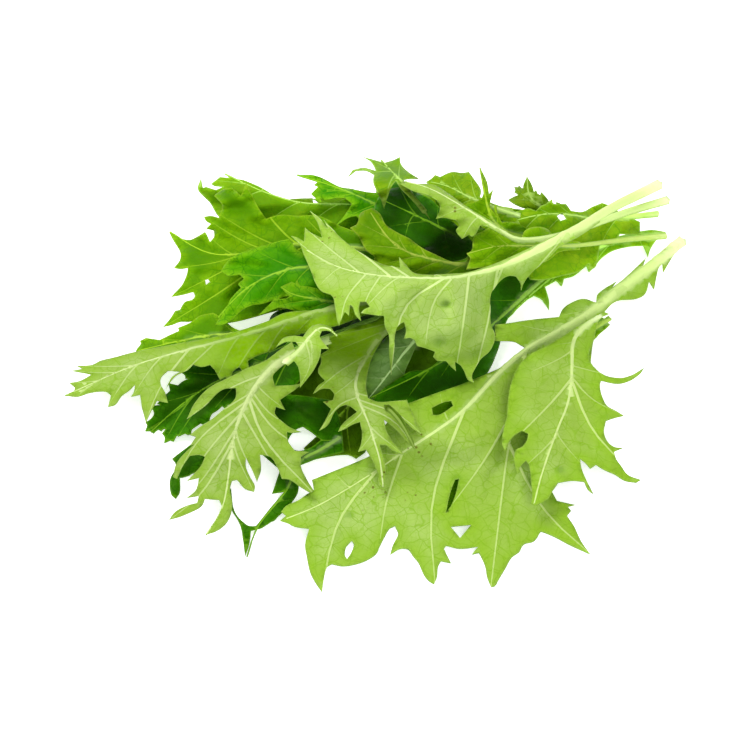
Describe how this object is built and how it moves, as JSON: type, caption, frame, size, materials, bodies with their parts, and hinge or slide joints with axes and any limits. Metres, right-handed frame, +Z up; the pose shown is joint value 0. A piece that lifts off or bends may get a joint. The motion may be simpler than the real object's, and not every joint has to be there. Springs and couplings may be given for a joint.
{
  "type": "mizuna",
  "caption": "Loose bunch of mizuna salad leaves lying flat, stalks together at the back right, deeply cut blades fanned to the left and the front",
  "frame": {"origin": "middle of the footprint, on the table that the bunch lies on", "axes": "+X along the bunch towards the stalk ends at the right, +Y to the back, +Z up"},
  "size_m": [0.2606, 0.2219, 0.0626],
  "materials": {
    "pale": "satin, thin leaf tissue",
    "front": "satin, thin leaf tissue",
    "mid": "satin, thin leaf tissue",
    "fresh": "satin, thin leaf tissue",
    "yellow": "satin, thin leaf tissue",
    "bright": "satin, thin leaf tissue",
    "dark": "satin, thin leaf tissue",
    "olive": "satin, thin leaf tissue",
    "grey": "satin, thin leaf tissue"
  },
  "bodies": {
    "root": {"back_under_leaf": "dark", "right_low_leaf": "mid", "shade_leaf": "olive", "inner_grey_leaf": "grey", "inner_dark_leaf": "dark", "left_shade_leaf": "dark", "low_left_leaf": "dark", "low_sprig_leaf": "dark", "front_under_leaf": "fresh", "front_leaf": "front", "front_side_leaf": "front", "back_low_leaf": "mid", "back_long_leaf": "mid", "curly_leaf": "mid", "back_right_leaf": "mid", "back_top_leaf": "mid", "back_finger_leaf": "fresh", "back_left_top_leaf": "bright", "back_left_leaf": "fresh", "left_under_leaf": "fresh", "bright_leaf": "bright", "bright_frond_leaf": "bright", "back_shade_leaf": "dark", "heart_leaf": "yellow", "star_leaf": "mid", "right_mid_leaf": "yellow", "upper_mid_leaf": "pale", "left_long_leaf": "pale", "middle_leaf": "pale", "lower_left_leaf": "pale", "strap_leaf": "mid", "curled_leaf": "pale", "crown_leaf": "pale"}
  },
  "joints": []
}
